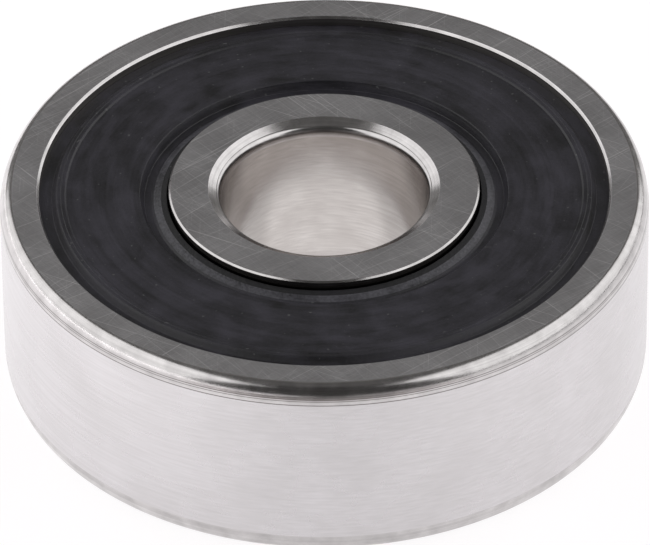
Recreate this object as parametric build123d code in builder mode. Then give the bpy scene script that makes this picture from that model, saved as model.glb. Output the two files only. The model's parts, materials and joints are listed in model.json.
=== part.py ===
"""A sealed deep-groove ball bearing, 7 mm bore, 22 mm outside and 7 mm wide.

Two hardened rings, seven balls in a riveted two-piece ribbon cage, and a rubber
seal with a steel insert snapped into the outer ring on each side.  The origin is
the centre of the bearing and +Z is its axis.  All sizes are in millimetres.
"""
import os
from math import sqrt

from build123d import *

os.makedirs("parts", exist_ok=True)

# --- Boundary sizes -----------------------------------------------------------
bore_diameter = 7.0
outer_diameter = 22.0
ring_width = 7.0

# --- Balls and raceways -------------------------------------------------------
ball_diameter = 3.969            # a 5/32 inch ball
ball_count = 7
race_clearance = 0.02            # a centred ball stands off each raceway by this
inner_conformity = 0.52          # raceway section radius over ball diameter
outer_conformity = 0.53
inner_shoulder_height = 0.80     # shoulder above the bottom of the inner raceway
outer_shoulder_height = 0.60     # shoulder above the bottom of the outer raceway

# --- Outer ring ---------------------------------------------------------------
outer_corner_radial = 0.41       # rounded corner, taller than it is wide
outer_corner_axial = 0.71
seal_ledge_width = 1.00          # ledge from the shoulder out to the seal mouth
seal_mouth_break = 0.08          # small chamfer where the face meets the mouth
seal_groove_depth = 0.29         # undercut that holds the edge of the seal
seal_groove_height = 0.27        # straight wall at the bottom of the undercut
seal_groove_slope = 0.17         # height of the undercut's sloping roof

# --- Inner ring ---------------------------------------------------------------
bore_chamfer_radial = 0.27       # flat chamfer next to the face
bore_chamfer_axial = 0.16
bore_round_radial = 0.16         # rounding from that chamfer into the bore
bore_round_axial = 0.39
land_step = 0.775                # seal land below the shoulder
land_length = 1.20               # seal land, from the face to the step
land_root_radius = 0.12
face_edge_break = 0.06           # outer edge of the inner ring's face

# --- Cage ---------------------------------------------------------------------
cage_sheet = 0.30
cage_inner_gap = 0.30            # ribbon to the inner ring's shoulder
cage_outer_gap = 0.50            # ribbon to the outer ring's shoulder
pocket_clearance = 0.045         # between a ball and its pocket
pocket_bend_radius = 0.12        # where a pocket leaves the flat ribbon
rivet_diameter = 0.60
rivet_head_diameter = 1.00
rivet_head_height = 0.24
rivet_clearance = 0.01

# --- Seals --------------------------------------------------------------------
seal_recess = 0.19               # flat of the seal below the ring faces
seal_thickness = 0.65            # from the flat to the back
margin_width = 0.43              # sunk margin next to the outer ring
margin_depth = 0.35              # margin below the ring faces
ridge_height = 0.05              # ridge round the outside of the flat
ridge_width = 0.26
ridge_run = 0.17                 # slope from the ridge down to the margin
ridge_fall = 0.06                # slope from the ridge down to the flat
lip_clearance = 0.04             # lip edge to seal land
lip_nose = 0.02                  # lip edge stands inwards of its top face
lip_width = 0.45
lip_depth = 0.30                 # lip top below the ring faces
lip_edge_drop = 0.08             # lip edge below the lip top
lip_fall = 0.16                  # how far the lip's top slopes down to the neck
lip_back_run = 0.24              # slope behind the lip edge
neck_depth = 0.50                # bottom of the flexing groove below the faces
neck_width = 0.24
neck_lip_slope = 0.08            # groove wall on the lip's side
neck_flat_slope = 0.14           # groove wall on the flat's side
neck_relief = 0.10               # back of the lip and neck, raised off the back
seal_edge_radius = 0.04

# --- Steel insert of each seal ------------------------------------------------
insert_sheet = 0.25
insert_inset = 0.16              # inner edge outside the flat's inner edge
insert_flange_height = 0.36
insert_flange_inset = 0.40       # flange inside the mouth of the outer ring

# --- Sizes that follow --------------------------------------------------------
half_width = ring_width / 2
bore_radius = bore_diameter / 2
outer_radius = outer_diameter / 2
ball_radius = ball_diameter / 2
pitch_radius = (bore_radius + outer_radius) / 2
ball_pitch_angle = 360 / ball_count

inner_race_radius = pitch_radius - ball_radius - race_clearance
outer_race_radius = pitch_radius + ball_radius + race_clearance
inner_shoulder_radius = inner_race_radius + inner_shoulder_height
outer_shoulder_radius = outer_race_radius - outer_shoulder_height
land_radius = inner_shoulder_radius - land_step

seal_mouth_radius = outer_shoulder_radius + seal_ledge_width
seal_groove_radius = seal_mouth_radius + seal_groove_depth
seal_flat_height = half_width - seal_recess
seal_back_height = seal_flat_height - seal_thickness
seal_groove_top = seal_back_height + seal_groove_height

cage_inner_radius = inner_shoulder_radius + cage_inner_gap
cage_outer_radius = outer_shoulder_radius - cage_outer_gap
pocket_radius = ball_radius + pocket_clearance

lip_edge_radius = land_radius + lip_clearance
lip_top_radius = lip_edge_radius + lip_nose
neck_start_radius = lip_top_radius + lip_width
flat_inner_radius = neck_start_radius + neck_lip_slope + neck_width + neck_flat_slope
margin_radius = seal_mouth_radius - margin_width
insert_inner_radius = flat_inner_radius + insert_inset
insert_outer_radius = seal_mouth_radius - insert_flange_inset


def raceway_point(bottom_radius, section_radius, outward, at_radius):
    """Where a raceway's round section, deepest at bottom_radius, is cut at at_radius."""
    centre = bottom_radius - outward * section_radius
    return (at_radius, sqrt(section_radius**2 - (at_radius - centre) ** 2))


def make_outer_ring():
    section = outer_conformity * ball_diameter
    race_edge = raceway_point(outer_race_radius, section, 1, outer_shoulder_radius)
    mouth_top = (seal_mouth_radius, half_width - seal_mouth_break)
    corner_start = (outer_radius - outer_corner_radial, half_width)
    corner_end = (outer_radius, half_width - outer_corner_axial)
    with BuildPart() as outer_ring:
        with BuildSketch(Plane.XZ):
            with BuildLine():
                RadiusArc((outer_race_radius, 0), race_edge, -section)
                Polyline(
                    race_edge,
                    (outer_shoulder_radius, seal_back_height),
                    (seal_groove_radius, seal_back_height),
                    (seal_groove_radius, seal_groove_top),
                    (seal_mouth_radius, seal_groove_top + seal_groove_slope),
                    mouth_top,
                    (seal_mouth_radius + seal_mouth_break, half_width),
                    corner_start,
                )
                EllipticalCenterArc(
                    (corner_start[0], corner_end[1]),
                    outer_corner_radial,
                    outer_corner_axial,
                    start_angle=0,
                    arc_size=90,
                )
                Line(corner_end, (outer_radius, 0))
                mirror(about=Plane.XZ)
            make_face()
        revolve(axis=Axis.Z)
    outer_ring.part.label = "outer_ring"
    return outer_ring.part


def make_inner_ring():
    section = inner_conformity * ball_diameter
    race_edge = raceway_point(inner_race_radius, section, -1, inner_shoulder_radius)
    step_height = half_width - land_length
    round_end = (bore_radius, half_width - bore_chamfer_axial - bore_round_axial)
    round_start = (bore_radius + bore_round_radial, half_width - bore_chamfer_axial)
    face_start = (round_start[0] + bore_chamfer_radial, half_width)
    with BuildPart() as inner_ring:
        with BuildSketch(Plane.XZ):
            with BuildLine():
                Line((bore_radius, 0), round_end)
                EllipticalCenterArc(
                    (round_start[0], round_end[1]),
                    bore_round_radial,
                    bore_round_axial,
                    start_angle=90,
                    arc_size=90,
                )
                Polyline(
                    round_start,
                    face_start,
                    (land_radius - face_edge_break, half_width),
                    (land_radius, half_width - face_edge_break),
                    (land_radius, step_height + land_root_radius),
                )
                RadiusArc(
                    (land_radius, step_height + land_root_radius),
                    (land_radius + land_root_radius, step_height),
                    land_root_radius,
                )
                Polyline(
                    (land_radius + land_root_radius, step_height),
                    (inner_shoulder_radius, step_height),
                    race_edge,
                )
                RadiusArc(race_edge, (inner_race_radius, 0), -section)
                mirror(about=Plane.XZ)
            make_face()
        revolve(axis=Axis.Z)
    inner_ring.part.label = "inner_ring"
    return inner_ring.part


def make_ball(number):
    with BuildPart() as ball:
        with PolarLocations(pitch_radius, 1, start_angle=(number - 1) * ball_pitch_angle):
            Sphere(ball_radius)
    ball.part.label = f"ball_{number}"
    return ball.part


def make_cage_half(name, side):
    """One pressed half of the ribbon, above (side 1) or below (side -1) the middle."""
    sheet_height = side * cage_sheet
    blank_radius = pitch_radius + pocket_radius + 4 * cage_sheet
    with BuildPart() as cage_half:
        with BuildSketch():
            Circle(blank_radius)
        extrude(amount=sheet_height)
        with PolarLocations(pitch_radius, ball_count):
            Sphere(pocket_radius + cage_sheet)
        bends = cage_half.edges().filter_by(GeomType.CIRCLE)
        bends = bends.filter_by(lambda edge: abs(edge.center().Z - sheet_height) < 0.01)
        bends = bends.filter_by(lambda edge: edge.radius < pocket_radius + cage_sheet)
        fillet(bends, radius=pocket_bend_radius)
        with BuildSketch():
            Circle(cage_outer_radius)
            Circle(cage_inner_radius, mode=Mode.SUBTRACT)
        extrude(amount=side * blank_radius, mode=Mode.INTERSECT)
        with PolarLocations(pitch_radius, ball_count):
            Sphere(pocket_radius, mode=Mode.SUBTRACT)
        with PolarLocations(pitch_radius, ball_count, start_angle=ball_pitch_angle / 2):
            Hole(rivet_diameter / 2 + rivet_clearance)
    cage_half.part.label = name
    return cage_half.part


def make_cage_rivets():
    """Seven rivets, one between each pair of pockets, each with a domed head at both ends."""
    head_top = cage_sheet + rivet_head_height
    with BuildPart() as rivet:
        with BuildSketch(Plane.XZ):
            with BuildLine():
                Polyline(
                    (0, 0),
                    (rivet_diameter / 2, 0),
                    (rivet_diameter / 2, cage_sheet),
                    (rivet_head_diameter / 2, cage_sheet),
                )
                TangentArc(
                    (0, head_top),
                    (rivet_head_diameter / 2, cage_sheet),
                    tangent=(1, 0),
                )
                Line((0, head_top), (0, 0))
            make_face()
        revolve(axis=Axis.Z)
        mirror(about=Plane.XY)
    with BuildPart() as cage_rivets:
        with PolarLocations(pitch_radius, ball_count, start_angle=ball_pitch_angle / 2):
            add(rivet.part)
    cage_rivets.part.label = "cage_rivets"
    return cage_rivets.part


def insert_profile(side):
    """The insert's section: a flat washer with its outer edge turned towards the face."""
    back = side * seal_back_height
    front = side * (seal_back_height + insert_sheet)
    flange = side * (seal_back_height + insert_flange_height)
    return [
        (insert_outer_radius, back),
        (insert_outer_radius, flange),
        (insert_outer_radius - insert_sheet, flange),
        (insert_outer_radius - insert_sheet, front),
        (insert_inner_radius, front),
        (insert_inner_radius, back),
    ]


def make_seal_insert(name, side):
    with BuildPart() as seal_insert:
        with BuildSketch(Plane.XZ):
            with BuildLine():
                Polyline(*insert_profile(side), close=True)
            make_face()
        revolve(axis=Axis.Z)
    seal_insert.part.label = name
    return seal_insert.part


def make_seal_rubber(name, side):
    """The moulded seal: lip, flexing neck, flat, ridge, sunk margin and the gripped edge."""
    neck_end = flat_inner_radius - neck_flat_slope
    ridge_outer = margin_radius - ridge_run
    ridge_inner = ridge_outer - ridge_width
    ridge_top = seal_flat_height + ridge_height
    margin_top = half_width - margin_depth
    lip_top = half_width - lip_depth
    neck_top = half_width - neck_depth
    lip_back = seal_back_height + neck_relief
    front = [
        (lip_edge_radius, lip_top - lip_edge_drop),
        (lip_top_radius, lip_top),
        (neck_start_radius, lip_top - lip_fall),
        (neck_start_radius + neck_lip_slope, neck_top),
        (neck_end, neck_top),
        (flat_inner_radius, seal_flat_height),
        (ridge_inner - ridge_fall, seal_flat_height),
        (ridge_inner, ridge_top),
        (ridge_outer, ridge_top),
        (margin_radius, margin_top),
        (seal_mouth_radius, margin_top),
        (seal_mouth_radius, seal_groove_top + seal_groove_slope),
        (seal_groove_radius, seal_groove_top),
        (seal_groove_radius, seal_back_height),
    ]
    back = [
        (flat_inner_radius, seal_back_height),
        (neck_end, lip_back),
        (lip_edge_radius + lip_back_run, lip_back),
    ]
    rounded_radii = (neck_start_radius, flat_inner_radius, ridge_inner, ridge_outer)
    with BuildPart() as seal_rubber:
        with BuildSketch(Plane.XZ) as profile:
            with BuildLine():
                Polyline(
                    *[(radius, side * height) for radius, height in front],
                    *insert_profile(side),
                    *[(radius, side * height) for radius, height in back],
                    close=True,
                )
            make_face()
            softened = [
                corner
                for corner in profile.vertices()
                if abs(corner.Y) > lip_top - 0.01
                and min(abs(corner.X - radius) for radius in rounded_radii) < 0.01
            ]
            fillet(softened, radius=seal_edge_radius)
        revolve(axis=Axis.Z)
    seal_rubber.part.label = name
    return seal_rubber.part


pieces = [make_outer_ring(), make_inner_ring()]
for number in range(1, ball_count + 1):
    pieces.append(make_ball(number))
pieces.append(make_cage_rivets())
for place, side in (("top", 1), ("bottom", -1)):
    pieces.append(make_cage_half(f"cage_half_{place}", side))
    pieces.append(make_seal_rubber(f"seal_rubber_{place}", side))
    pieces.append(make_seal_insert(f"seal_insert_{place}", side))

for piece in pieces:
    export_step(piece, f"parts/{piece.label}.step")
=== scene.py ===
# %% [markdown]
# # A sealed ball bearing
#
# A deep-groove ball bearing is two hardened rings with balls between them, a cage that
# keeps the balls apart and a rubber seal on each side.  Nearly every surface of it was
# turned or ground while the piece spun, so nearly every surface is a surface of
# revolution.  This lesson computes each piece as arrays with numpy: an outline in the
# plane of radius and height, carried once round the axis.
#
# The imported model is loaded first.  It fixes where everything is, in metres, with the
# origin at the centre of the bearing and +Z along the shaft.

# %% Load the frame and read the driving sizes
import json
from math import cos, pi, radians, sin

import bpy
import numpy as np
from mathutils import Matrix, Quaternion, Vector


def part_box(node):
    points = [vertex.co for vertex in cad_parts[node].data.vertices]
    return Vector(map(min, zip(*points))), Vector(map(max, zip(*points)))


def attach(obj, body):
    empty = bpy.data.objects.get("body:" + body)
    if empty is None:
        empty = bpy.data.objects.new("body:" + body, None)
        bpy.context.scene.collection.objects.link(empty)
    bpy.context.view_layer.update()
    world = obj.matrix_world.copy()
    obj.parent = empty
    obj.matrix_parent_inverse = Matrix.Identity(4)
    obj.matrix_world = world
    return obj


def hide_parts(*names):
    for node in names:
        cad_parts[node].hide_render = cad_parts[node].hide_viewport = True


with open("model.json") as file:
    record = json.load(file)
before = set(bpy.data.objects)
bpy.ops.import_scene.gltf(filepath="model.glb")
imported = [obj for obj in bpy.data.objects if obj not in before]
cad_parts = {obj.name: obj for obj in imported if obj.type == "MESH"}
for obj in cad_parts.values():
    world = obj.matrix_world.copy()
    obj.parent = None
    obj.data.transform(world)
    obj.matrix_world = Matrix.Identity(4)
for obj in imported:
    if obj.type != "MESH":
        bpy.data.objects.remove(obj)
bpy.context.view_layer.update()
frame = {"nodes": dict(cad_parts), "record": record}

MM = 0.001                                           # one millimetre, in metres
OUTER_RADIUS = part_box("outer_ring")[1].x / MM
HALF_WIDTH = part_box("outer_ring")[1].z / MM
BORE_RADIUS = next(m["dims"]["r_mm"] for m in frame["record"]["mounts"] if m["name"] == "bore")
BALLS = [n for n in sorted(frame["nodes"]) if n.startswith("ball_")]
ball_low, ball_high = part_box(BALLS[0])
BALL_RADIUS = (ball_high.z - ball_low.z) / 2 / MM
PITCH_RADIUS = (OUTER_RADIUS + BORE_RADIUS) / 2
print(f"outside {2 * OUTER_RADIUS:.2f}, bore {2 * BORE_RADIUS:.2f}, width {2 * HALF_WIDTH:.2f} mm")
print(f"{len(BALLS)} balls of {2 * BALL_RADIUS:.3f} mm on a {2 * PITCH_RADIUS:.2f} mm circle")

# %% [markdown]
# ## The camera
#
# A small part is best seen with a long lens from well back, which keeps its circles
# close to true ellipses.  The camera could be placed by hand, but it is clearer to state
# how high it stands, how far off it is and the point it looks at, and to turn those into
# a position.  It looks a little in front of the axis, so the near side fills the frame.

# %% Camera
CAMERA_ELEVATION = radians(37.44)
CAMERA_DISTANCE = 26 * OUTER_RADIUS * MM             # from the centre of the upper face
CAMERA_ROLL = radians(-0.6)
AIM_DROP = 0.2662 * OUTER_RADIUS * MM                # aim below that centre, across the view

back = Vector((0, -cos(CAMERA_ELEVATION), sin(CAMERA_ELEVATION)))
view_up = Vector((0, sin(CAMERA_ELEVATION), cos(CAMERA_ELEVATION)))
top_centre = Vector((0, 0, HALF_WIDTH * MM))
aim = top_centre - view_up * AIM_DROP

camera = bpy.data.objects.new("camera", bpy.data.cameras.new("camera"))
bpy.context.scene.collection.objects.link(camera)
camera.location = top_centre + back * CAMERA_DISTANCE
look = aim - camera.location
camera.rotation_mode = "QUATERNION"
camera.rotation_quaternion = look.to_track_quat("-Z", "Y") @ Quaternion((0, 0, 1), CAMERA_ROLL)
camera.data.sensor_width = 36
camera.data.lens = 468
camera.data.clip_start = 0.01
camera.data.clip_end = 20
bpy.context.scene.camera = camera
print(f"camera {CAMERA_DISTANCE:.3f} m off, {camera.data.lens:.0f} mm lens")

# %% [markdown]
# ## The nodes of a material
#
# Every finish below is built from shader nodes.  Writing each node out in full is long,
# and a separate helper for each kind of node hides what it does, so one small function
# adds any node: its settings are properties, and its inputs are values or other outputs.
# Colours are written as the sRGB hex values a designer would pick and turned to the
# linear values a renderer works in.

# %% Helpers for shader nodes
def add(tree, kind, inputs=None, **settings):
    """Adds one node to a tree; each input is a value or another node's output socket."""
    made = tree.nodes.new(kind)
    for name, value in settings.items():
        setattr(made, name, value)
    for socket, value in (inputs or {}).items():
        if isinstance(value, bpy.types.NodeSocket):
            tree.links.new(value, made.inputs[socket])
        else:
            made.inputs[socket].default_value = value
    return made


def linear(hex_colour):
    """sRGB hex to linear: c / 12.92 below 0.04045, else ((c + 0.055) / 1.055) ** 2.4."""
    parts = np.array([int(hex_colour[i:i + 2], 16) for i in (1, 3, 5)]) / 255
    values = np.where(parts <= 0.04045, parts / 12.92, ((parts + 0.055) / 1.055) ** 2.4)
    return (*values.tolist(), 1.0)


def above(tree, value, low, high):
    """0 below low, 1 above high and straight between."""
    return add(
        tree, "ShaderNodeMapRange", {"Value": value, "From Min": low, "From Max": high}
    ).outputs[0]


def between(tree, value, low, high):
    """Turns a 0 to 1 pattern into values from low to high."""
    return add(tree, "ShaderNodeMapRange", {"Value": value, "To Min": low, "To Max": high}).outputs[0]


def tint(tree, pattern, dark, light):
    """A colour between two hex values."""
    return add(
        tree, "ShaderNodeMix",
        {"Factor": pattern, 6: linear(dark), 7: linear(light)}, data_type="RGBA",
    ).outputs[2]


print("steel #cfccc8 is", [round(v, 3) for v in linear("#cfccc8")[:3]])

# %% [markdown]
# ## The light table
#
# Bright steel shows its surroundings more than itself, so the studio decides how a
# bearing looks.  It stands on a pale light table, a sheet of opal acrylic lit from
# below.  The upright side of the ring mirrors the table and looks nearly white.  A floor
# could be a plane with a plain emission, but a shader with both a matt base and an
# emission also takes the soft shadow of the panels.

# %% The light table
FLOOR_SIZE = 4.0
FLOOR_DROP = 0.01                                    # mm below the ring, so no two faces coincide
FLOOR_GLOW = 0.86

bpy.context.scene.view_settings.view_transform = "Standard"

reach, under = FLOOR_SIZE / 2, -(HALF_WIDTH + FLOOR_DROP) * MM
floor_mesh = bpy.data.meshes.new("light_table")
floor_mesh.from_pydata(
    [(-reach, -reach, under), (reach, -reach, under), (reach, reach, under), (-reach, reach, under)],
    [], [(0, 1, 2, 3)],
)
floor = bpy.data.objects.new("light_table", floor_mesh)
bpy.context.scene.collection.objects.link(floor)
opal_acrylic = bpy.data.materials.new("opal_acrylic_light_table")
opal_acrylic.use_nodes = True
table_tree = opal_acrylic.node_tree
table_shader = table_tree.nodes["Principled BSDF"]
table_shader.inputs["Base Color"].default_value = linear("#8c8c8c")
table_shader.inputs["Roughness"].default_value = 0.9
table_shader.inputs["Specular IOR Level"].default_value = 0.0
floor_mesh.materials.append(opal_acrylic)
print(f"a table {FLOOR_SIZE} m square, {FLOOR_DROP} mm below the ring")

# %% [markdown]
# ## What the steel mirrors of the table
#
# An even table would make the ring look like paper.  So it is a little brighter to the
# sides, a touch more to the left, and it ends in front of the bearing in a dark warm
# edge, which the rounded corner mirrors as the lower part of its dark band.  The wall of
# the bore mirrors only the small disc of table inside it, so that disc has its own light
# and a shaded rim.  All this is for the steel: the camera sees the table as one even tone.

# %% The glow of the table
SIDE_SPAN = (2.0, 14.0)                              # mm from the middle, where the glow rises
SIDE_GLOW = (0.86, 1.08)
LEFT_GAIN = 0.004                                    # more glow for each mm to the left
BORE_SPAN = (BORE_RADIUS - 0.23, BORE_RADIUS - 0.53)
BORE_GLOW = 1.31
BORE_SHADE = 0.98                                    # where the bore's wall shades the table
BORE_SHADE_SPAN = (BORE_RADIUS - 0.2, BORE_RADIUS + 0.1)
BORE_LIGHT_SHIFT = 1.5                               # mm that the light disc lies to the front
END_SPAN = (-42, -30)                                # mm, where the table ends in front
END_SIDE_SPAN = (22, 40)                             # and how wide that end is
END_GLOW = 0.04
END_COLOUR, TABLE_COLOUR = "#a06a50", "#fffdfe"

spot = add(table_tree, "ShaderNodeTexCoord").outputs["Object"]
spot = add(
    table_tree, "ShaderNodeVectorMath", {0: spot, "Scale": 1 / MM}, operation="SCALE"
).outputs[0]
flat_spot = add(
    table_tree, "ShaderNodeVectorMath", {0: spot, 1: (1, 1, 0)}, operation="MULTIPLY"
).outputs[0]
part = add(table_tree, "ShaderNodeSeparateXYZ", {0: spot})
aside = add(table_tree, "ShaderNodeMath", {0: part.outputs["X"]}, operation="ABSOLUTE").outputs[0]
glow = between(table_tree, above(table_tree, aside, *SIDE_SPAN), *SIDE_GLOW)
glow = add(
    table_tree, "ShaderNodeMath", {0: part.outputs["X"], 1: -LEFT_GAIN, 2: glow},
    operation="MULTIPLY_ADD",
).outputs[0]

from_axis = add(table_tree, "ShaderNodeVectorMath", {0: flat_spot}, operation="LENGTH")
in_bore = above(table_tree, from_axis.outputs["Value"], *BORE_SPAN)
shifted = add(
    table_tree, "ShaderNodeVectorMath", {0: flat_spot, 1: (0, BORE_LIGHT_SHIFT, 0)}, operation="ADD"
).outputs[0]
from_light = add(table_tree, "ShaderNodeVectorMath", {0: shifted}, operation="LENGTH")
shaded = above(table_tree, from_light.outputs["Value"], *BORE_SHADE_SPAN)
bore_light = between(table_tree, shaded, BORE_GLOW, BORE_SHADE)
glow = add(table_tree, "ShaderNodeMix", {0: in_bore, 2: glow, 3: bore_light}).outputs[0]

behind = above(table_tree, part.outputs["Y"], *END_SPAN)
beside = above(table_tree, aside, *END_SIDE_SPAN)
on_table = add(table_tree, "ShaderNodeMath", {0: behind, 1: beside}, operation="MAXIMUM").outputs[0]
seen = add(table_tree, "ShaderNodeLightPath").outputs["Is Camera Ray"]
pale = add(table_tree, "ShaderNodeMath", {0: on_table, 1: seen}, operation="MAXIMUM").outputs[0]
hue = tint(table_tree, pale, END_COLOUR, TABLE_COLOUR)
faded = between(table_tree, on_table, END_GLOW, 1.0)
glow = add(table_tree, "ShaderNodeMath", {0: glow, 1: faded}, operation="MULTIPLY").outputs[0]
glow = add(table_tree, "ShaderNodeMix", {0: seen, 2: glow, 3: 1.0}).outputs[0]
glow = add(table_tree, "ShaderNodeMath", {0: glow, 1: FLOOR_GLOW}, operation="MULTIPLY").outputs[0]
table_tree.links.new(hue, table_shader.inputs["Emission Color"])
table_tree.links.new(glow, table_shader.inputs["Emission Strength"])
print(f"the table's glow is made by {len(table_tree.nodes)} nodes")

# %% [markdown]
# ## Soft panels and the room
#
# A wide soft panel stands on each side, level with the bearing and a little above it.
# The rounded edges mirror the panels in their flanks.  The room is a dim grey that the
# flat faces mirror.  It is darker in front, which makes the dark middle of the front
# edge, and darker overhead, which the back of the bore's chamfer mirrors.  A world of a
# few nodes is enough for that, and keeps the room as smooth as its reflections.

# %% Panels
PANEL_DISTANCE = 0.42
PANEL_WIDTH = 1.00
PANEL_HEIGHT = 0.60
PANEL_AZIMUTH = 92                                   # degrees each side of the camera
PANEL_ELEVATION = 30
PANEL_RADIANCE = 1.05


def soft_panel(name, azimuth):
    """A rectangular light facing the origin; its power is radiance times pi times area."""
    data = bpy.data.lights.new(name, "AREA")
    data.shape = "RECTANGLE"
    data.size = PANEL_WIDTH
    data.size_y = PANEL_HEIGHT
    data.energy = PANEL_RADIANCE * pi * PANEL_WIDTH * PANEL_HEIGHT
    panel = bpy.data.objects.new(name, data)
    turn, lift = radians(azimuth), radians(PANEL_ELEVATION)
    towards = Vector((sin(turn) * cos(lift), -cos(turn) * cos(lift), sin(lift)))
    panel.location = towards * PANEL_DISTANCE
    panel.rotation_euler = (-towards).to_track_quat("-Z", "Y").to_euler()
    bpy.context.scene.collection.objects.link(panel)
    print(f"{name}: {data.energy:.2f} W, {PANEL_DISTANCE} m away")


soft_panel("panel_left", -PANEL_AZIMUTH)
soft_panel("panel_right", PANEL_AZIMUTH)

# %% Room
ROOM = 0.17
ROOM_GAP = 0.05                                      # in front, between the panels
GAP_EDGES = (42, 26)                                 # degrees from straight in front
CEILING = 0.11
CEILING_EDGES = (54, 70)                             # degrees above level
ROOM_COLOUR = "#fffdfa"

room = bpy.data.worlds.new("room")
bpy.context.scene.world = room
room.use_nodes = True
room_tree = room.node_tree
room_tree.nodes.clear()
sky = add(room_tree, "ShaderNodeTexCoord").outputs["Generated"]
level = add(room_tree, "ShaderNodeVectorMath", {0: sky, 1: (1, 1, 0)}, operation="MULTIPLY").outputs[0]
level = add(room_tree, "ShaderNodeVectorMath", {0: level}, operation="NORMALIZE").outputs[0]
front = add(room_tree, "ShaderNodeVectorMath", {0: level, 1: (0, -1, 0)}, operation="DOT_PRODUCT")
far_edge, near_edge = (cos(radians(edge)) for edge in GAP_EDGES)
gap = add(
    room_tree, "ShaderNodeMapRange",
    {"Value": front.outputs["Value"], "From Min": far_edge, "From Max": near_edge},
    interpolation_type="SMOOTHSTEP",
).outputs[0]
height = add(room_tree, "ShaderNodeSeparateXYZ", {0: sky}).outputs["Z"]
low_edge, high_edge = (sin(radians(edge)) for edge in CEILING_EDGES)
overhead = add(
    room_tree, "ShaderNodeMapRange",
    {"Value": height, "From Min": low_edge, "From Max": high_edge},
    interpolation_type="SMOOTHSTEP",
).outputs[0]
strength = between(room_tree, gap, ROOM, ROOM_GAP)
strength = add(room_tree, "ShaderNodeMix", {0: overhead, 2: strength, 3: CEILING}).outputs[0]
seen = add(room_tree, "ShaderNodeLightPath").outputs["Is Camera Ray"]
strength = add(room_tree, "ShaderNodeMix", {0: seen, 2: strength, 3: 1.0}).outputs[0]
sky_shader = add(room_tree, "ShaderNodeBackground", {"Color": linear(ROOM_COLOUR), "Strength": strength})
add(room_tree, "ShaderNodeOutputWorld", {"Surface": sky_shader.outputs[0]})
print(f"room {ROOM}, darker in front {ROOM_GAP} and overhead {CEILING}")

# %% [markdown]
# ## An outline with rounded corners
#
# No machined or moulded edge is perfectly sharp: each has a small radius, and that radius
# is what catches the light.  A bevel modifier could make them, but here the outline
# itself is rounded before it is turned, so the radii are exact and a flat face keeps two
# close rings of points beside each edge, which keeps its shading flat.
#
# An outline is a list of corners.  Each corner holds its radius from the axis, its
# height, how much it is rounded, and the finish of the run that leaves it.

# %% Rounded outlines
EDGE_RING = 0.012                                    # distance of the close rings, in mm
ARC_STEPS = 5


def rounded(corners, closed):
    """Points along an outline with arcs at its corners, and the finish of each run.

    At a corner whose two runs turn by an angle t, an arc of radius q touches each run
    q * tan(t / 2) from the corner; its centre is on the bisector, q / cos(t / 2) away.
    """
    place = np.array([c[:2] for c in corners], float)
    radius = np.array([c[2] for c in corners], float)
    if not closed:
        radius[[0, -1]] = 0
    run = np.roll(place, -1, axis=0) - place
    length = np.linalg.norm(run, axis=1)
    onward = run / length[:, None]
    arriving = np.roll(onward, 1, axis=0)
    cross = arriving[:, 0] * onward[:, 1] - arriving[:, 1] * onward[:, 0]
    turn = np.arctan2(cross, np.sum(arriving * onward, axis=1))
    setback = radius * np.tan(np.abs(turn) / 2)
    points, marks = [], []
    for i, (_, _, _, finish) in enumerate(corners):
        made = [place[i]]
        if radius[i] > 0:
            bisector = (onward[i] - arriving[i]) / np.linalg.norm(onward[i] - arriving[i])
            centre = place[i] + bisector * radius[i] / cos(turn[i] / 2)
            spoke = place[i] - arriving[i] * setback[i] - centre
            swing = np.linspace(0, turn[i], ARC_STEPS + 1)
            across = np.array([-spoke[1], spoke[0]])
            made = list(centre + np.outer(np.cos(swing), spoke) + np.outer(np.sin(swing), across))
        if closed or i < len(corners) - 1:
            after = (i + 1) % len(corners)
            room = length[i] - setback[i] - setback[after]
            if radius[i] > 0 and room > 4 * EDGE_RING:
                made.append(made[-1] + onward[i] * EDGE_RING)
            if radius[after] > 0 and room > 4 * EDGE_RING:
                made.append(place[after] - onward[i] * (setback[after] + EDGE_RING))
        points.extend(made)
        marks.extend([finish] * len(made))
    return np.array(points), marks


def mirrored(points, marks):
    """Adds the mirror image of a half outline that starts and ends at height 0."""
    lower = points[-2:0:-1] * (1, -1)
    return np.concatenate([points, lower]), marks[:-1] + marks[-2::-1]


square = rounded([(0, 0, 0.1, "a"), (1, 0, 0.1, "a"), (1, 1, 0.1, "a"), (0, 1, 0.1, "a")], True)[0]
print(f"a rounded square has {len(square)} points")

# %% [markdown]
# ## Turning an outline into a solid
#
# Blender's Screw modifier and Spin tool can turn a profile too.  Computing the surface
# keeps every ring of points known, so each face can take the finish of its own run of
# the outline: one ring then carries a ground face, a turned corner and a ground outside,
# as the real one does.  The points are one array operation, and so are the faces.

# %% Revolve and build
FINE_TURNS, TURNS, HIDDEN_TURNS = 384, 320, 256      # points in one turn


def outwards(points, marks):
    """Reverses an outline that runs clockwise, so that the faces look outwards."""
    r, z = points.T
    area = np.sum(r * np.roll(z, -1) - np.roll(r, -1) * z)
    return (points, marks) if area > 0 else (points[::-1], marks[-2::-1] + marks[-1:])


def revolved(points, turns):
    """Vertices x = r cos(a), y = r sin(a), z over a grid of outline point and angle a."""
    angle = np.arange(turns) * 2 * pi / turns
    r, z = points[:, :1], points[:, 1:]
    return np.stack([r * np.cos(angle), r * np.sin(angle), z + 0 * angle], axis=-1)


def grid_faces(rows, columns, wrap_rows):
    """Quads of a grid whose columns wrap round; the rows wrap too on a closed outline."""
    i = np.arange(rows if wrap_rows else rows - 1)[:, None]
    j = np.arange(columns)[None, :]
    below, above, beside = i * columns, (i + 1) % rows * columns, (j + 1) % columns
    return np.stack([below + j, below + beside, above + beside, above + j], axis=-1)


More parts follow.
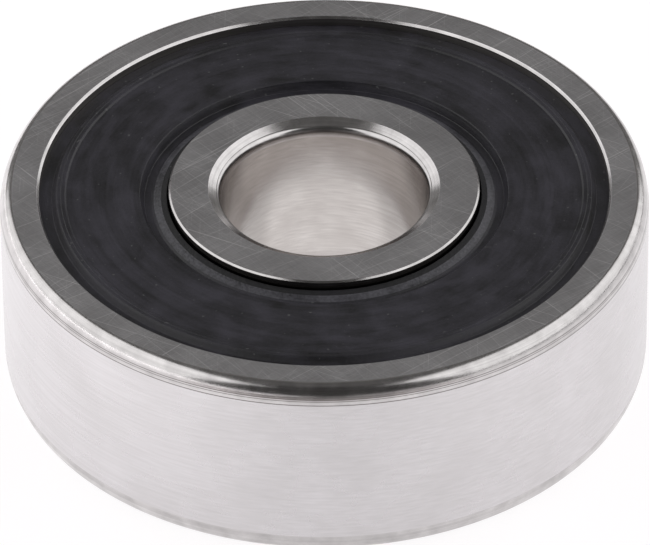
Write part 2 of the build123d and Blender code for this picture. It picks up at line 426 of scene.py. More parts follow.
def build(name, body, nodes, vertices, faces, finishes, marks=None):
    """Makes a smooth-shaded piece from arrays in mm, rides it on a body and hides the CAD nodes it stands
    for.
    """
    mesh = bpy.data.meshes.new(name)
    flat = [tuple(f) for f in faces] if isinstance(faces, list) else faces.reshape(-1, 4).tolist()
    mesh.from_pydata((vertices.reshape(-1, 3) * MM).tolist(), [], flat)
    mesh.polygons.foreach_set("use_smooth", np.ones(len(mesh.polygons), bool))
    for finish in finishes:
        mesh.materials.append(finish)
    if marks is not None:
        mesh.polygons.foreach_set("material_index", np.asarray(marks, np.int32).ravel())
    mesh.update()
    piece = bpy.data.objects.new(name, mesh)
    bpy.context.scene.collection.objects.link(piece)
    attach(piece, body)
    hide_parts(*nodes)
    print(f"{name}: {len(mesh.vertices)} vertices, {len(mesh.polygons)} faces")
    return piece


def turned_ring(name, body, nodes, outline, turns, finishes):
    """A closed outline carried round the axis; finishes maps each run's word to a material."""
    points, marks = outwards(*outline)
    words = list(finishes)
    faces = grid_faces(len(points), turns, True)
    index = np.array([words.index(m) for m in marks])
    marks = np.repeat(index[:, None], turns, axis=1)
    return build(name, body, nodes, revolved(points, turns), faces, finishes.values(), marks)

# %% [markdown]
# ## The finishes of bearing steel
#
# Bearing steel is a through-hardened chromium steel, and each surface of a ring is left
# by its own machine.  The metal is the same everywhere: bare, neutral, a little warm,
# with the renderer's default IOR, and mirrors a little over half of what is in front of
# it.  What changes is the texture of marks, so the patterns come as functions of place
# in millimetres: rings left by turning and grinding, and scratches left by handling.

# %% Metal and its marks
def metal(name, colour, roughness):
    """A bare metal material; returns it with its tree, its shader and its place in mm.

    The colour and roughness given here are near the averages of the patterns that are
    linked to them later, for programs that read only a material's plain values.
    """
    made = bpy.data.materials.new(name)
    made.use_nodes = True
    tree = made.node_tree
    shader = tree.nodes["Principled BSDF"]
    shader.inputs["Metallic"].default_value = 1.0
    shader.inputs["Base Color"].default_value = linear(colour)
    shader.inputs["Roughness"].default_value = roughness
    place = add(tree, "ShaderNodeTexCoord").outputs["Object"]
    place = add(tree, "ShaderNodeVectorMath", {0: place, "Scale": 1 / MM}, operation="SCALE")
    return made, tree, shader, place.outputs[0]


def ring_marks(tree, place, pitch, drift=0.3):
    """Noise of (radius / pitch, height / pitch), which changes slowly round the piece."""
    flat = add(tree, "ShaderNodeVectorMath", {0: place, 1: (1, 1, 0)}, operation="MULTIPLY")
    radius = add(tree, "ShaderNodeVectorMath", {0: flat.outputs[0]}, operation="LENGTH")
    height = add(tree, "ShaderNodeSeparateXYZ", {0: place}).outputs["Z"]
    slow = add(tree, "ShaderNodeVectorMath", {0: place, 1: (1, 0.7, 0)}, operation="DOT_PRODUCT")
    where = add(
        tree, "ShaderNodeCombineXYZ",
        {0: radius.outputs["Value"], 1: height, 2: slow.outputs["Value"]},
    )
    scaled = add(
        tree, "ShaderNodeVectorMath",
        {0: where.outputs[0], 1: (1 / pitch, 1 / pitch, drift)}, operation="MULTIPLY",
    )
    noise = add(tree, "ShaderNodeTexNoise", {"Vector": scaled.outputs[0], "Scale": 1.0, "Detail": 3.0})
    return noise.outputs["Fac"]


def stretched(tree, place, heading, length, width, bend=0.0):
    """Noise drawn out to length by width, in mm, along a heading in degrees.

    The heading also moves the noise, so no two headings show the same pattern.
    """
    turned = add(
        tree, "ShaderNodeMapping",
        {"Vector": place, "Rotation": (0, 0, radians(heading)), "Scale": (length, width, 40),
         "Location": (heading, 2 * heading, 0)},
        vector_type="TEXTURE",
    )
    noise = add(
        tree, "ShaderNodeTexNoise",
        {"Vector": turned.outputs[0], "Scale": 1.0, "Detail": 1.0, "Distortion": bend},
    )
    return noise.outputs["Fac"]


def most(tree, values):
    """The largest of several patterns."""
    best = values[0]
    for value in values[1:]:
        best = add(tree, "ShaderNodeMath", {0: best, 1: value}, operation="MAXIMUM").outputs[0]
    return best


def dent(tree, shader, pattern, depth):
    """Bump from a pattern, its full depth in mm."""
    bump = add(tree, "ShaderNodeBump", {"Height": pattern, "Distance": depth * MM, "Strength": 1.0})
    tree.links.new(bump.outputs[0], shader.inputs["Normal"])


print(f"steel #c3c1c3 mirrors {linear('#c3c1c3')[1]:.2f} of the light")

# %% [markdown]
# ** Ground faces.** Both sides of a ring are ground flat between two wheels, which leaves
# a fine satin grain with no one direction, so the face looks an even grey.  Handling adds
# long hairline scratches at every angle, cut in as bumps and painted lighter than the steel
# around them, a painted glint of the light they catch.  A real scratch is a few thousandths
# of a millimetre wide; here it is 0.035 to 0.05 mm, the finest line that shows at this size.

# %% Ground face steel
ground_face, tree, shader, place = metal("ground_face_steel", "#c3c1c3", 0.36)
long_hairs = [
    above(tree, stretched(tree, place, heading, 11, 0.05), 0.69, 0.77)
    for heading in (31, 39, 44, 129, 152)
]
short_hairs = [
    above(tree, stretched(tree, place, heading, 3, 0.035, 0.1), 0.66, 0.80)
    for heading in (12, 36, 61, 88, 119, 141, 168)
]
hair_and_glint = most(tree, long_hairs)
faint = most(tree, short_hairs)
hair_and_glint = add(tree, "ShaderNodeMath", {0: faint, 1: 0.5, 2: hair_and_glint}, operation="MULTIPLY_ADD").outputs[0]
grain = stretched(tree, place, 37, 1.6, 0.045, 0.4)
cross_grain = stretched(tree, place, 128, 1.2, 0.05, 0.5)
grain = add(tree, "ShaderNodeMath", {0: grain, 1: cross_grain}, operation="ADD").outputs[0]
cloud = add(tree, "ShaderNodeTexNoise", {"Vector": place, "Scale": 0.5, "Detail": 3.0}).outputs["Fac"]
tone = add(tree, "ShaderNodeMath", {0: cloud, 1: 0.35, 2: -0.02}, operation="MULTIPLY_ADD").outputs[0]
tone = add(tree, "ShaderNodeMath", {0: grain, 1: 0.28, 2: tone}, operation="MULTIPLY_ADD").outputs[0]
# The scratches lighten the colour here, a painted glint of the light they catch; in the bump below they are
# real.
tone = add(tree, "ShaderNodeMath", {0: hair_and_glint, 1: 0.60, 2: tone}, operation="MULTIPLY_ADD").outputs[0]
tree.links.new(tint(tree, tone, "#949295", "#fbf9fb"), shader.inputs["Base Color"])
tree.links.new(between(tree, cloud, 0.30, 0.42), shader.inputs["Roughness"])
relief = add(tree, "ShaderNodeMath", {0: hair_and_glint, 1: -1.2, 2: grain}, operation="MULTIPLY_ADD").outputs[0]
dent(tree, shader, relief, 0.0014)
print(ground_face.name, "has", len(tree.nodes), "nodes")

# %% [markdown]
# ** Turned corners.** The corners are left from turning and only polished by tumbling, so
# they mirror the room more sharply, in bands that run round the ring.  The marks of the
# tool are rings about 0.05 mm apart.  Where the outer corner blends into the side the tool
# left three deeper lines; they are painted as dark rings on the upper corner only, a
# painted shade of those grooves.  The land of the seal is the same steel painted darker,
# a painted shade of the narrow gap between the ring and the seal's lip.

# %% Turned corner steel
BLEND_LINES = ((0.47, 0.020), (0.54, 0.016), (0.695, 0.028))     # depth below the face, and width


def corner_steel(name, line_heights, plain="#cac7c7", dark="#aeabab", light="#dddada"):
    """Turned steel, its tone dark to light, with darker lines round it at given heights."""
    made, tree, shader, place = metal(name, plain, 0.20)
    rings = ring_marks(tree, place, 0.05, 0.12)
    height = add(tree, "ShaderNodeSeparateXYZ", {0: place}).outputs["Z"]
    keep = 1.0
    for line_height, width in line_heights:
        off = add(tree, "ShaderNodeMath", {0: height, 1: line_height}, operation="SUBTRACT")
        off = add(tree, "ShaderNodeMath", {0: off.outputs[0]}, operation="ABSOLUTE").outputs[0]
        clear = above(tree, off, 0.3 * width, width)
        keep = add(tree, "ShaderNodeMath", {0: keep, 1: clear}, operation="MINIMUM").outputs[0]
    patch = add(tree, "ShaderNodeTexNoise", {"Vector": place, "Scale": 1.6, "Detail": 4.0}).outputs["Fac"]
    tone = add(tree, "ShaderNodeMath", {0: rings, 1: 0.8, 2: patch}, operation="MULTIPLY_ADD").outputs[0]
    shade = tint(tree, above(tree, tone, 0.45, 1.30), dark, light)
    # The dark rings are a painted shade of the tool's grooves, drawn on the upper corner only.
    lined = add(tree, "ShaderNodeMix", {"Factor": keep, 6: linear("#7d7978"), 7: shade}, data_type="RGBA")
    tree.links.new(lined.outputs[2], shader.inputs["Base Color"])
    fleck = add(tree, "ShaderNodeTexNoise", {"Vector": place, "Scale": 3.0, "Detail": 4.0}).outputs["Fac"]
    tree.links.new(between(tree, fleck, 0.12, 0.28), shader.inputs["Roughness"])
    dent(tree, shader, rings, 0.0003)
    return made


turned_corner = corner_steel("turned_corner_steel", ())
# The land's dark colour is a painted shade of the narrow gap beside the seal's lip.
shaded_land = corner_steel("greased_land_steel", (), "#6a6763", "#5a5753", "#7a7672")
housing_corner = corner_steel(
    "blended_corner_steel", [(HALF_WIDTH - depth, width) for depth, width in BLEND_LINES]
)
print(housing_corner.name, "has", len(BLEND_LINES), "lines")

# %% [markdown]
# **The ground outside and the honed bore.**  Both are ground while the ring turns, so
# their grain runs round the ring, fine and even, with slow cloudy patches.  The real
# grain is a few thousandths of a millimetre apart; here it is 0.08 to 0.09 mm, so that it
# shows as a soft streak and not as a flat tone.

# %% Ground outside and honed bore
ground_outside, tree, shader, place = metal("centreless_ground_steel", "#d5d2d3", 0.26)
rings = ring_marks(tree, place, 0.09, 1.3)
cloud = add(tree, "ShaderNodeTexNoise", {"Vector": place, "Scale": 0.45, "Detail": 4.0}).outputs["Fac"]
mixed = add(tree, "ShaderNodeMath", {0: rings, 1: cloud}, operation="MULTIPLY").outputs[0]
tree.links.new(tint(tree, above(tree, mixed, 0.08, 0.45), "#d0cdce", "#dedbdd"), shader.inputs["Base Color"])
tree.links.new(between(tree, cloud, 0.20, 0.34), shader.inputs["Roughness"])

honed_bore, tree, shader, place = metal("honed_bore_steel", "#bcb7b4", 0.22)
rings = ring_marks(tree, place, 0.08, 1.5)
cloud = add(tree, "ShaderNodeTexNoise", {"Vector": place, "Scale": 0.9, "Detail": 4.0}).outputs["Fac"]
mixed = add(tree, "ShaderNodeMath", {0: rings, 1: cloud}, operation="MULTIPLY").outputs[0]
tree.links.new(tint(tree, above(tree, mixed, 0.08, 0.45), "#b0aba8", "#c7c3c0"), shader.inputs["Base Color"])
tree.links.new(between(tree, cloud, 0.14, 0.24), shader.inputs["Roughness"])
print(ground_outside.name, "and", honed_bore.name)

# %% [markdown]
# **Raceways and hidden turning.**  The balls run on superfinished grooves, close to a
# mirror.  The shoulders and the seal grooves are only turned: duller, with coarser rings.
# The raceway's honing marks are drawn 0.12 mm apart, far coarser than they are.

# %% Raceway and turned groove
raceway, tree, shader, place = metal("superfinished_raceway_steel", "#d4d1ce", 0.07)
rings = ring_marks(tree, place, 0.12, 0.2)
tree.links.new(tint(tree, rings, "#c8c5c2", "#dedbd8"), shader.inputs["Base Color"])
tree.links.new(between(tree, rings, 0.05, 0.11), shader.inputs["Roughness"])

turned_groove, tree, shader, place = metal("turned_groove_steel", "#aaa7a4", 0.34)
rings = ring_marks(tree, place, 0.09, 0.1)
tree.links.new(tint(tree, rings, "#8f8b86", "#bdb9b5"), shader.inputs["Base Color"])
tree.links.new(between(tree, rings, 0.26, 0.44), shader.inputs["Roughness"])
dent(tree, shader, rings, 0.0016)
print(raceway.name, "and", turned_groove.name)

# %% [markdown]
# ## Nitrile rubber
#
# The seals are nitrile rubber, black with carbon, moulded in a turned steel tool.  The
# tool's rings print on the rubber, about 0.11 mm apart, and the skin is satin, with wiped
# smears of grease and talc and a few specks of dust.  The lip's slope is painted a lighter
# grey, a painted sheen, and shows a coarser grain; its very edge is dull and painted nearly
# black, a painted shade of the gap between the lip and the inner ring.  The IOR of nitrile
# rubber is near 1.52.

# %% Moulded rubber
def moulded_rubber(name, dark, light, shine, coarse):
    """Black rubber: mould rings, smears, skin grain as strong as coarse says, and dust."""
    made = bpy.data.materials.new(name)
    made.use_nodes = True
    tree = made.node_tree
    shader = tree.nodes["Principled BSDF"]
    shader.inputs["IOR"].default_value = 1.52
    place = add(tree, "ShaderNodeTexCoord").outputs["Object"]
    place = add(tree, "ShaderNodeVectorMath", {0: place, "Scale": 1 / MM}, operation="SCALE").outputs[0]
    rings = ring_marks(tree, place, 0.11, 0.10)
    smear = add(
        tree, "ShaderNodeTexNoise", {"Vector": place, "Scale": 0.6, "Detail": 6.0, "Distortion": 0.6}
    ).outputs["Fac"]
    wiped = above(tree, ring_marks(tree, place, 0.55, 0.5), 0.44, 0.60)
    smear = add(tree, "ShaderNodeMath", {0: wiped, 1: 0.22, 2: smear}, operation="MULTIPLY_ADD").outputs[0]
    smear = above(tree, smear, 0.32, 0.84)
    skin = add(tree, "ShaderNodeTexNoise", {"Vector": place, "Scale": 9.0, "Detail": 3.0}).outputs["Fac"]
    dust = add(tree, "ShaderNodeTexNoise", {"Vector": place, "Scale": 7.0, "Detail": 0.0}).outputs["Fac"]
    dust = above(tree, dust, 0.80, 0.83)
    tone = add(tree, "ShaderNodeMath", {0: skin, 1: coarse, 2: smear}, operation="MULTIPLY_ADD").outputs[0]
    tone = add(tree, "ShaderNodeMath", {0: rings, 1: 0.6, 2: tone}, operation="MULTIPLY_ADD").outputs[0]
    shade = tint(tree, above(tree, tone, 0.3 + 0.3 * coarse, 1.3 + 0.7 * coarse), dark, light)
    dusted = add(
        tree, "ShaderNodeMix", {"Factor": dust, 6: shade, 7: linear("#4a4a4c")}, data_type="RGBA"
    )
    tree.links.new(dusted.outputs[2], shader.inputs["Base Color"])
    tree.links.new(between(tree, smear, shine, shine + 0.16), shader.inputs["Roughness"])
    relief = add(tree, "ShaderNodeMath", {0: skin, 1: coarse, 2: rings}, operation="MULTIPLY_ADD").outputs[0]
    dent(tree, shader, relief, 0.012)
    return made


rubber = moulded_rubber("moulded_nitrile_rubber", "#0c0b0e", "#35333c", 0.42, 0.6)
# The lip's lighter grey is a painted sheen.
sheened_lip_rubber = moulded_rubber("trimmed_lip_rubber", "#1f1e23", "#626168", 0.34, 1.6)
# The lip's edge is painted nearly black, a painted shade of the gap beside the inner ring.
shaded_lip_edge_rubber = moulded_rubber("worn_lip_edge_rubber", "#060607", "#1c1b20", 0.60, 1.6)
print(rubber.name, "has", len(rubber.node_tree.nodes), "nodes")

# %% [markdown]
# ## The hidden steels
#
# Balls are lapped to a mirror.  The cage is pressed from soft strip and tumbled with
# stones, which dimples it; its rivets are cold headed and a little duller.  The seals'
# inserts are phosphated so that rubber bonds to them, a dark grey crystal coat whose
# crystals are drawn 0.12 mm across, several times their real size.

# %% Balls, cage, rivets and inserts
lapped_ball, tree, shader, place = metal("lapped_ball_steel", "#d9d7d5", 0.05)
haze = add(tree, "ShaderNodeTexNoise", {"Vector": place, "Scale": 1.2, "Detail": 3.0}).outputs["Fac"]
tree.links.new(tint(tree, haze, "#d0cecc", "#e0dedc"), shader.inputs["Base Color"])
tree.links.new(between(tree, haze, 0.03, 0.08), shader.inputs["Roughness"])

pressed_cage, tree, shader, place = metal("tumbled_cage_steel", "#b3aea6", 0.34)
dimple = add(tree, "ShaderNodeTexNoise", {"Vector": place, "Scale": 6.0, "Detail": 3.0}).outputs["Fac"]
tree.links.new(tint(tree, dimple, "#9c968d", "#c6c1b9"), shader.inputs["Base Color"])
tree.links.new(between(tree, dimple, 0.26, 0.44), shader.inputs["Roughness"])
dent(tree, shader, dimple, 0.004)

headed_rivet, tree, shader, place = metal("cold_headed_rivet_steel", "#a8a49d", 0.38)
dimple = add(tree, "ShaderNodeTexNoise", {"Vector": place, "Scale": 9.0, "Detail": 3.0}).outputs["Fac"]
tree.links.new(tint(tree, dimple, "#8d8880", "#bcb8b1"), shader.inputs["Base Color"])
tree.links.new(between(tree, dimple, 0.30, 0.48), shader.inputs["Roughness"])
dent(tree, shader, dimple, 0.003)

phosphated, tree, shader, place = metal("phosphated_insert_steel", "#565853", 0.60)
crystal = add(tree, "ShaderNodeTexVoronoi", {"Vector": place, "Scale": 8.0}).outputs["Distance"]
tree.links.new(tint(tree, crystal, "#40423e", "#73766f"), shader.inputs["Base Color"])
tree.links.new(between(tree, crystal, 0.50, 0.72), shader.inputs["Roughness"])
dent(tree, shader, crystal, 0.003)
print(lapped_ball.name, pressed_cage.name, headed_rivet.name, phosphated.name)

# %% [markdown]
# ## The outer ring
#
# The ring could be a plain tube, but its outline carries everything that makes it work:
# a raceway a little rounder than the ball, shoulders beside it, a ledge and an undercut
# that grip the seal, a small break at the seal's mouth, and an outer corner that is
# taller than it is wide so that the ring enters its housing easily.  That corner is a
# quarter of an ellipse.

# %% Outer ring
RACE_GAP = 0.02                                      # between a centred ball and a raceway
OUTER_SECTION = 0.53 * 2 * BALL_RADIUS               # raceway section radius
OUTER_RACE = PITCH_RADIUS + BALL_RADIUS + RACE_GAP
OUTER_SHOULDER = OUTER_RACE - 0.60                   # its shoulder stands this far in
MOUTH = OUTER_SHOULDER + 1.00                        # where the seal enters
UNDERCUT = MOUTH + 0.29                              # where the seal is gripped
SEAL_BACK = abs(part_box("seal_insert_top")[0].z) / MM
UNDERCUT_TOP = SEAL_BACK + 0.27
ROOF = UNDERCUT_TOP + 0.17                           # top of the undercut's sloping roof
CORNER_RADIAL, CORNER_AXIAL = 0.41, 0.71
MOUTH_BREAK = 0.08
FINE_EDGE, TIGHT_EDGE = 0.02, 0.01                   # radii of edges that look sharp
RACE_STEPS = 32


def raceway_arc(deepest, section, side, shoulder, steps, finish):
    """Corners along r = centre + side * s cos(a), z = s sin(a), from a = 0 to the shoulder."""
    centre = deepest - side * section
    stop = np.arccos(side * (shoulder - centre) / section)
    a = np.linspace(0, stop, steps)
    r, z = centre + side * section * np.cos(a), section * np.sin(a)
    return [(r[i], z[i], 0, finish) for i in range(steps)]


def quarter_ellipse(centre, width, height, start, steps, finish):
    """Corners along r = centre + width cos(a), z = centre + height sin(a), a quarter turn."""
    a = np.linspace(start, start + np.sign(start - 45) * -90, steps) * pi / 180
    r, z = centre[0] + width * np.cos(a), centre[1] + height * np.sin(a)
    return [(r[i], z[i], 0, finish) for i in range(steps)]


outer_half = raceway_arc(OUTER_RACE, OUTER_SECTION, 1, OUTER_SHOULDER, RACE_STEPS, "race")
outer_half[-1] = (*outer_half[-1][:2], FINE_EDGE, "turned")
outer_half += [
    (OUTER_SHOULDER, SEAL_BACK, FINE_EDGE, "turned"),
    (UNDERCUT, SEAL_BACK, FINE_EDGE, "turned"),
    (UNDERCUT, UNDERCUT_TOP, FINE_EDGE, "turned"),
    (MOUTH, ROOF, FINE_EDGE, "turned"),
    (MOUTH, HALF_WIDTH - MOUTH_BREAK, FINE_EDGE, "corner"),
    (MOUTH + MOUTH_BREAK, HALF_WIDTH, FINE_EDGE, "face"),
]
corner_centre = (OUTER_RADIUS - CORNER_RADIAL, HALF_WIDTH - CORNER_AXIAL)
outer_half += quarter_ellipse(
    corner_centre, CORNER_RADIAL, CORNER_AXIAL, start=90, steps=28, finish="housing"
)
outer_half[-1] = (*outer_half[-1][:2], 0, "outside")
outer_half += [(OUTER_RADIUS, 0, 0, "outside")]
outer_outline = mirrored(*rounded(outer_half, False))
turned_ring(
    "ring_outer", "outer", ["outer_ring"], outer_outline, FINE_TURNS,
    {"race": raceway, "turned": turned_groove, "corner": turned_corner, "face": ground_face,
     "housing": housing_corner, "outside": ground_outside},
)

# %% [markdown]
# ## The inner ring
#
# The same kind of outline, seen from the other side: a honed bore, a corner made of a
# flat chamfer and a rounding, the ground face, a bright edge break, the land that the
# seal's lip runs on, a step up to the shoulder and the raceway.

# %% Inner ring
INNER_SECTION = 0.52 * 2 * BALL_RADIUS
INNER_RACE = PITCH_RADIUS - BALL_RADIUS - RACE_GAP
INNER_SHOULDER = INNER_RACE + 0.80
LAND = INNER_SHOULDER - 0.775                        # the seal's lip runs on it
LAND_STEP = HALF_WIDTH - 1.20                        # where it steps up to the shoulder
LAND_ROOT, SHOULDER_EDGE = 0.12, 0.05
CHAMFER_RADIAL, CHAMFER_AXIAL = 0.27, 0.16
ROUND_RADIAL, ROUND_AXIAL = 0.16, 0.39
EDGE_BREAK = 0.06

round_top = (BORE_RADIUS + ROUND_RADIAL, HALF_WIDTH - CHAMFER_AXIAL)
round_centre = (round_top[0], round_top[1] - ROUND_AXIAL)
inner_half = [(BORE_RADIUS, 0, 0, "bore")]
inner_half += quarter_ellipse(
    round_centre, -ROUND_RADIAL, ROUND_AXIAL, start=0, steps=14, finish="corner"
)
inner_half[-1] = (*round_top, TIGHT_EDGE, "corner")
inner_half += [
    (round_top[0] + CHAMFER_RADIAL, HALF_WIDTH, FINE_EDGE, "face"),
    (LAND - EDGE_BREAK, HALF_WIDTH, FINE_EDGE, "corner"),
    (LAND, HALF_WIDTH - EDGE_BREAK, FINE_EDGE, "land"),
    (LAND, LAND_STEP, LAND_ROOT, "land"),
    (INNER_SHOULDER, LAND_STEP, SHOULDER_EDGE, "land"),
]
inner_race = raceway_arc(INNER_RACE, INNER_SECTION, -1, INNER_SHOULDER, RACE_STEPS, "race")[::-1]
inner_race[0] = (*inner_race[0][:2], FINE_EDGE, "race")
inner_outline = mirrored(*rounded(inner_half + inner_race, False))
turned_ring(
    "ring_inner", "inner", ["inner_ring"], inner_outline, TURNS,
    {"bore": honed_bore, "corner": turned_corner, "face": ground_face, "land": shaded_land,
     "race": raceway},
)

# %% [markdown]
# ## The seals
#
# A seal is rubber moulded over a steel washer.  From the outside in it has an edge that
# snaps into the ring's undercut, a sunk margin, a raised ridge, a broad flat, a groove
# where it flexes and a lip that rides close to the inner ring.  Its sizes follow from the
# rings' own: outwards from the lip, and inwards from the mouth of the outer ring.

# %% Sizes of a seal
LIP_GAP = 0.04                                       # lip edge to its land
LIP_NOSE, LIP_WIDTH = 0.02, 0.45
LIP_SHADE_WIDTH = 0.20                                      # the part of that width painted dark, a painted shade
LIP_TOP = HALF_WIDTH - 0.30
LIP_FALL = 0.16                                      # the lip slopes down to the groove
LIP_EDGE = 0.08                                      # height of its edge
LIP_BACK = 0.24                                      # run of the slope behind the edge
NECK_TOP = HALF_WIDTH - 0.50
NECK_SLOPE, NECK_WIDTH, FLAT_SLOPE = 0.08, 0.24, 0.14
NECK_RELIEF = 0.10
FLAT = HALF_WIDTH - 0.19
RIDGE_TOP = FLAT + 0.05
RIDGE_FALL, RIDGE_WIDTH, RIDGE_RUN = 0.06, 0.26, 0.17
MARGIN_WIDTH = 0.43
MARGIN_TOP = HALF_WIDTH - 0.35

LIP = LAND + LIP_GAP
NECK_START = LIP + LIP_NOSE + LIP_WIDTH
NECK_END = NECK_START + NECK_SLOPE + NECK_WIDTH
FLAT_START = NECK_END + FLAT_SLOPE
MARGIN_START = MOUTH - MARGIN_WIDTH
RIDGE_END = MARGIN_START - RIDGE_RUN
RIDGE_START = RIDGE_END - RIDGE_WIDTH
print(f"lip {LIP:.2f}, flat {FLAT_START:.2f} to {RIDGE_START:.2f}, mouth {MOUTH:.2f} mm from the axis")

# %% [markdown]
# The insert is a washer whose outer edge is turned up into a flange.  The rubber holds it
# in a pocket in its back, so the rubber's outline runs along the insert's own corners.
# Every step of the rubber is soft, so its corners are rounded more than those of steel.
# A shallow line on the ridge is the witness line where two parts of the mould met.

# %% Outlines of a seal and its insert
INSERT_SHEET = 0.25
INSERT_INNER = FLAT_START + 0.16
INSERT_OUTER = MOUTH - 0.40
FLANGE_TOP = SEAL_BACK + 0.36
SOFT_EDGE = 0.045
WITNESS = 0.012                                      # depth of a mould line


def mould_line(radius, height):
    """A shallow notch in a level run, as three corners."""
    half = 1.6 * WITNESS
    return [
        (radius - half, height, 0.004, "rubber"),
        (radius, height - WITNESS, 0.004, "rubber"),
        (radius + half, height, 0.004, "rubber"),
    ]


insert_corners = [
    (INSERT_OUTER, SEAL_BACK, TIGHT_EDGE, "insert"),
    (INSERT_OUTER, FLANGE_TOP, TIGHT_EDGE, "insert"),
    (INSERT_OUTER - INSERT_SHEET, FLANGE_TOP, TIGHT_EDGE, "insert"),
    (INSERT_OUTER - INSERT_SHEET, SEAL_BACK + INSERT_SHEET, TIGHT_EDGE, "insert"),
    (INSERT_INNER, SEAL_BACK + INSERT_SHEET, TIGHT_EDGE, "insert"),
    (INSERT_INNER, SEAL_BACK, TIGHT_EDGE, "insert"),
]
shade_end = (LIP + LIP_NOSE + LIP_SHADE_WIDTH, LIP_TOP - LIP_FALL * LIP_SHADE_WIDTH / LIP_WIDTH)
seal_corners = [
    (LIP, LIP_TOP - LIP_EDGE, TIGHT_EDGE, "rubber"),
    (LIP + LIP_NOSE, LIP_TOP, FINE_EDGE, "edge"),
    (*shade_end, 0, "lip"),
    (NECK_START, LIP_TOP - LIP_FALL, SOFT_EDGE, "rubber"),
    (NECK_START + NECK_SLOPE, NECK_TOP, SOFT_EDGE, "rubber"),
    (NECK_END, NECK_TOP, SOFT_EDGE, "rubber"),
    (FLAT_START, FLAT, SOFT_EDGE, "rubber"),
    (RIDGE_START - RIDGE_FALL, FLAT, FINE_EDGE, "rubber"),
    (RIDGE_START, RIDGE_TOP, FINE_EDGE, "rubber"),
    *mould_line(RIDGE_START + RIDGE_WIDTH / 2, RIDGE_TOP),
    (RIDGE_END, RIDGE_TOP, SOFT_EDGE, "rubber"),
    (MARGIN_START, MARGIN_TOP, SOFT_EDGE, "rubber"),
    (MOUTH, MARGIN_TOP, TIGHT_EDGE, "rubber"),
    (MOUTH, ROOF, TIGHT_EDGE, "rubber"),
    (UNDERCUT, UNDERCUT_TOP, TIGHT_EDGE, "rubber"),
    (UNDERCUT, SEAL_BACK, TIGHT_EDGE, "rubber"),
    *[(radius, height, edge, "rubber") for radius, height, edge, _ in insert_corners],
    (FLAT_START, SEAL_BACK, FINE_EDGE, "rubber"),
    (NECK_END, SEAL_BACK + NECK_RELIEF, FINE_EDGE, "rubber"),
    (LIP + LIP_BACK, SEAL_BACK + NECK_RELIEF, FINE_EDGE, "rubber"),
]
seal_points, seal_marks = rounded(seal_corners, True)
insert_points, insert_marks = rounded(insert_corners, True)
print(f"outlines of {len(seal_points)} and {len(insert_points)} points")

# %% [markdown]
# The lower seal is the same part turned over, so its outline has the heights' signs
# changed.  Turning over also reverses the way the outline runs, and the function that
# carries it round the axis puts that right.

# %% Seals and inserts
for place_word, side in (("top", 1), ("bottom", -1)):
    turned_ring(
        f"seal_{place_word}", "outer", [f"seal_rubber_{place_word}"],
        (seal_points * (1, side), seal_marks), TURNS,
        {"rubber": rubber, "lip": sheened_lip_rubber, "edge": shaded_lip_edge_rubber},
    )
    turned_ring(
        f"insert_{place_word}", "outer", [f"seal_insert_{place_word}"],
        (insert_points * (1, side), insert_marks), HIDDEN_TURNS, {"insert": phosphated},
    )

# %% [markdown]
# ## The balls
#
# Blender has a sphere to add, but a ball is the simplest surface of two parameters, so
# it is a good first grid: x = r cos(b) cos(a), y = r cos(b) sin(a), z = r sin(b).  The
# two poles are single points with a fan of triangles each.

# %% Balls
def fans(rows, columns):
    """Quads between inner rows, and triangles from the first and last point to a row."""
    quads = grid_faces(rows, columns, False).reshape(-1, 4) + 1
    j = np.arange(columns)
    beside = (j + 1) % columns
    top, last = 1 + (rows - 1) * columns, 1 + rows * columns
    low_fan = np.stack([0 * j, 1 + beside, 1 + j], axis=1)
    high_fan = np.stack([0 * j + last, top + j, top + beside], axis=1)
    return quads.tolist() + low_fan.tolist() + high_fan.tolist()


def poled(outline, turns):
    """Revolves an outline from the axis to the axis, upwards, with one point at each pole."""
    inner = revolved(outline[1:-1], turns).reshape(-1, 3)
    ends = np.array([[0, 0, outline[0, 1]], [0, 0, outline[-1, 1]]])
    return np.concatenate([ends[:1], inner, ends[1:]]), fans(len(outline) - 2, turns)


latitude = np.linspace(-pi / 2, pi / 2, 65)
ball_outline = BALL_RADIUS * np.stack([np.cos(latitude), np.sin(latitude)], axis=1)
ball_vertices, ball_faces = poled(ball_outline, 128)
for ball in BALLS:
    low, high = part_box(ball)
    centre = np.array((low + high) / 2) / MM
    build(
        f"steel_{ball}", f"{ball}_body", [ball], ball_vertices + centre,
        ball_faces, [lapped_ball],
    )

# %% [markdown]
# ## The cage
#
# Each half is a flat ribbon pressed into half-round pockets.  It could be cut from
# spheres and a washer, but those cuts leave ragged triangles.  Instead the sheet is one
# grid that follows the ribbon round: at each radius, the pocket's width in angle is
# found from the sphere, and the same number of points is spread over it as at every
# other radius, so the edges of the pocket are rows of points.

# %% Cage halves
SHEET = 0.30
POCKET = BALL_RADIUS + 0.045
RIBBON_INNER = INNER_SHOULDER + 0.30
RIBBON_OUTER = OUTER_SHOULDER - 0.50
BEND = 0.05                                          # softness where a pocket leaves the flat
POCKET_POINTS, FLAT_POINTS, ACROSS_POINTS = 56, 12, 14


def half_angle(radius, sphere):
    """Half of the angle that a ball-centred sphere covers on a circle of this radius."""
    cosine = (radius**2 + PITCH_RADIUS**2 - sphere**2) / (2 * radius * PITCH_RADIUS)
    return np.arccos(cosine)


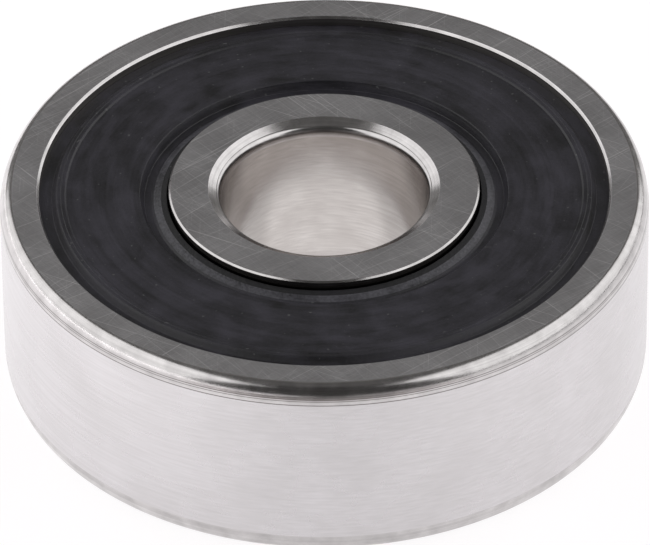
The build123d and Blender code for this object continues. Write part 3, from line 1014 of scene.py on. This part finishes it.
def pressed_sheet(radius, sphere, floor_height):
    """Angle and height along one pocket and the flat after it, for a column of radii.

    Over the pocket the angle is the half angle times sin(w), w from -90 to 90 degrees, and
    the height is sqrt(sphere^2 - d^2), d being the distance in plan from the ball's
    centre.  A soft maximum with the flat makes the bend.
    """
    edge = half_angle(radius, sphere)
    w = np.linspace(-pi / 2, pi / 2, POCKET_POINTS)
    over = edge * np.sin(w)
    step = 2 * pi / len(BALLS)
    flat = np.linspace(0, 1, FLAT_POINTS + 2)[1:-1]
    angle = np.concatenate([over, edge + (step - 2 * edge) * flat], axis=1)
    plan = radius**2 + PITCH_RADIUS**2 - 2 * radius * PITCH_RADIUS * np.cos(angle)
    rise = np.sqrt(np.maximum(sphere**2 - plan, 0)) - floor_height
    soft = BEND if floor_height else 0.0
    height = floor_height + (rise + np.sqrt(rise**2 + soft**2)) / 2
    return angle, height


ribbon = np.linspace(RIBBON_INNER, RIBBON_OUTER, ACROSS_POINTS)[:, None]
outer_angle, outer_height = pressed_sheet(ribbon, POCKET + SHEET, SHEET)
inner_angle, inner_height = pressed_sheet(ribbon, POCKET, 0.0)
loop_radius = np.concatenate([ribbon, ribbon[::-1]])
loop_angle = np.concatenate([inner_angle, outer_angle[::-1]])
loop_height = np.concatenate([inner_height, outer_height[::-1]])
pocket_turns = np.arange(len(BALLS))[:, None] * 2 * pi / len(BALLS)
around = (loop_angle[:, None, :] + pocket_turns[None]).reshape(len(loop_radius), -1)
heights = np.tile(loop_height, (1, len(BALLS)))
cage_vertices = np.stack(
    [loop_radius * np.cos(around), loop_radius * np.sin(around), heights], axis=-1
)
cage_faces = grid_faces(*around.shape, True)
for place_word, side in (("top", 1), ("bottom", -1)):
    faces = cage_faces if side > 0 else cage_faces[..., ::-1]
    build(
        f"cage_{place_word}", "cage", [f"cage_half_{place_word}"],
        cage_vertices * (1, 1, side), faces, [pressed_cage],
    )

# %% [markdown]
# ## The rivets
#
# A rivet is a short outline turned like a ball, with a straight shank and a domed head
# at each end.  One is computed, then placed between each pair of pockets; all seven are
# one piece, because they are one part number.

# %% Rivets
SHANK, HEAD, HEAD_HEIGHT = 0.30, 0.50, 0.24          # two radii and a height
dome = np.linspace(0, pi / 2, 9)
dome_points = [(HEAD * cos(a), SHEET + HEAD_HEIGHT * sin(a), 0, "rivet") for a in dome]
rivet_half = [(SHANK, 0, 0, "rivet"), (SHANK, SHEET, 0.02, "rivet"), *dome_points[:-1]]
rivet_half += [(0, SHEET + HEAD_HEIGHT, 0, "rivet")]
upper = rounded(rivet_half, False)[0]
lower = upper[:0:-1] * (1, -1)
rivet_vertices, rivet_faces = poled(np.concatenate([lower, upper]), 48)
spots = (np.arange(len(BALLS)) + 0.5) * 2 * pi / len(BALLS)
seats = PITCH_RADIUS * np.stack([np.cos(spots), np.sin(spots), 0 * spots], axis=1)
all_vertices = (rivet_vertices[None] + seats[:, None]).reshape(-1, 3)
all_faces = [
    [corner + number * len(rivet_vertices) for corner in face]
    for number in range(len(BALLS)) for face in rivet_faces
]
build("rivets", "cage", ["cage_rivets"], all_vertices, all_faces, [headed_rivet])
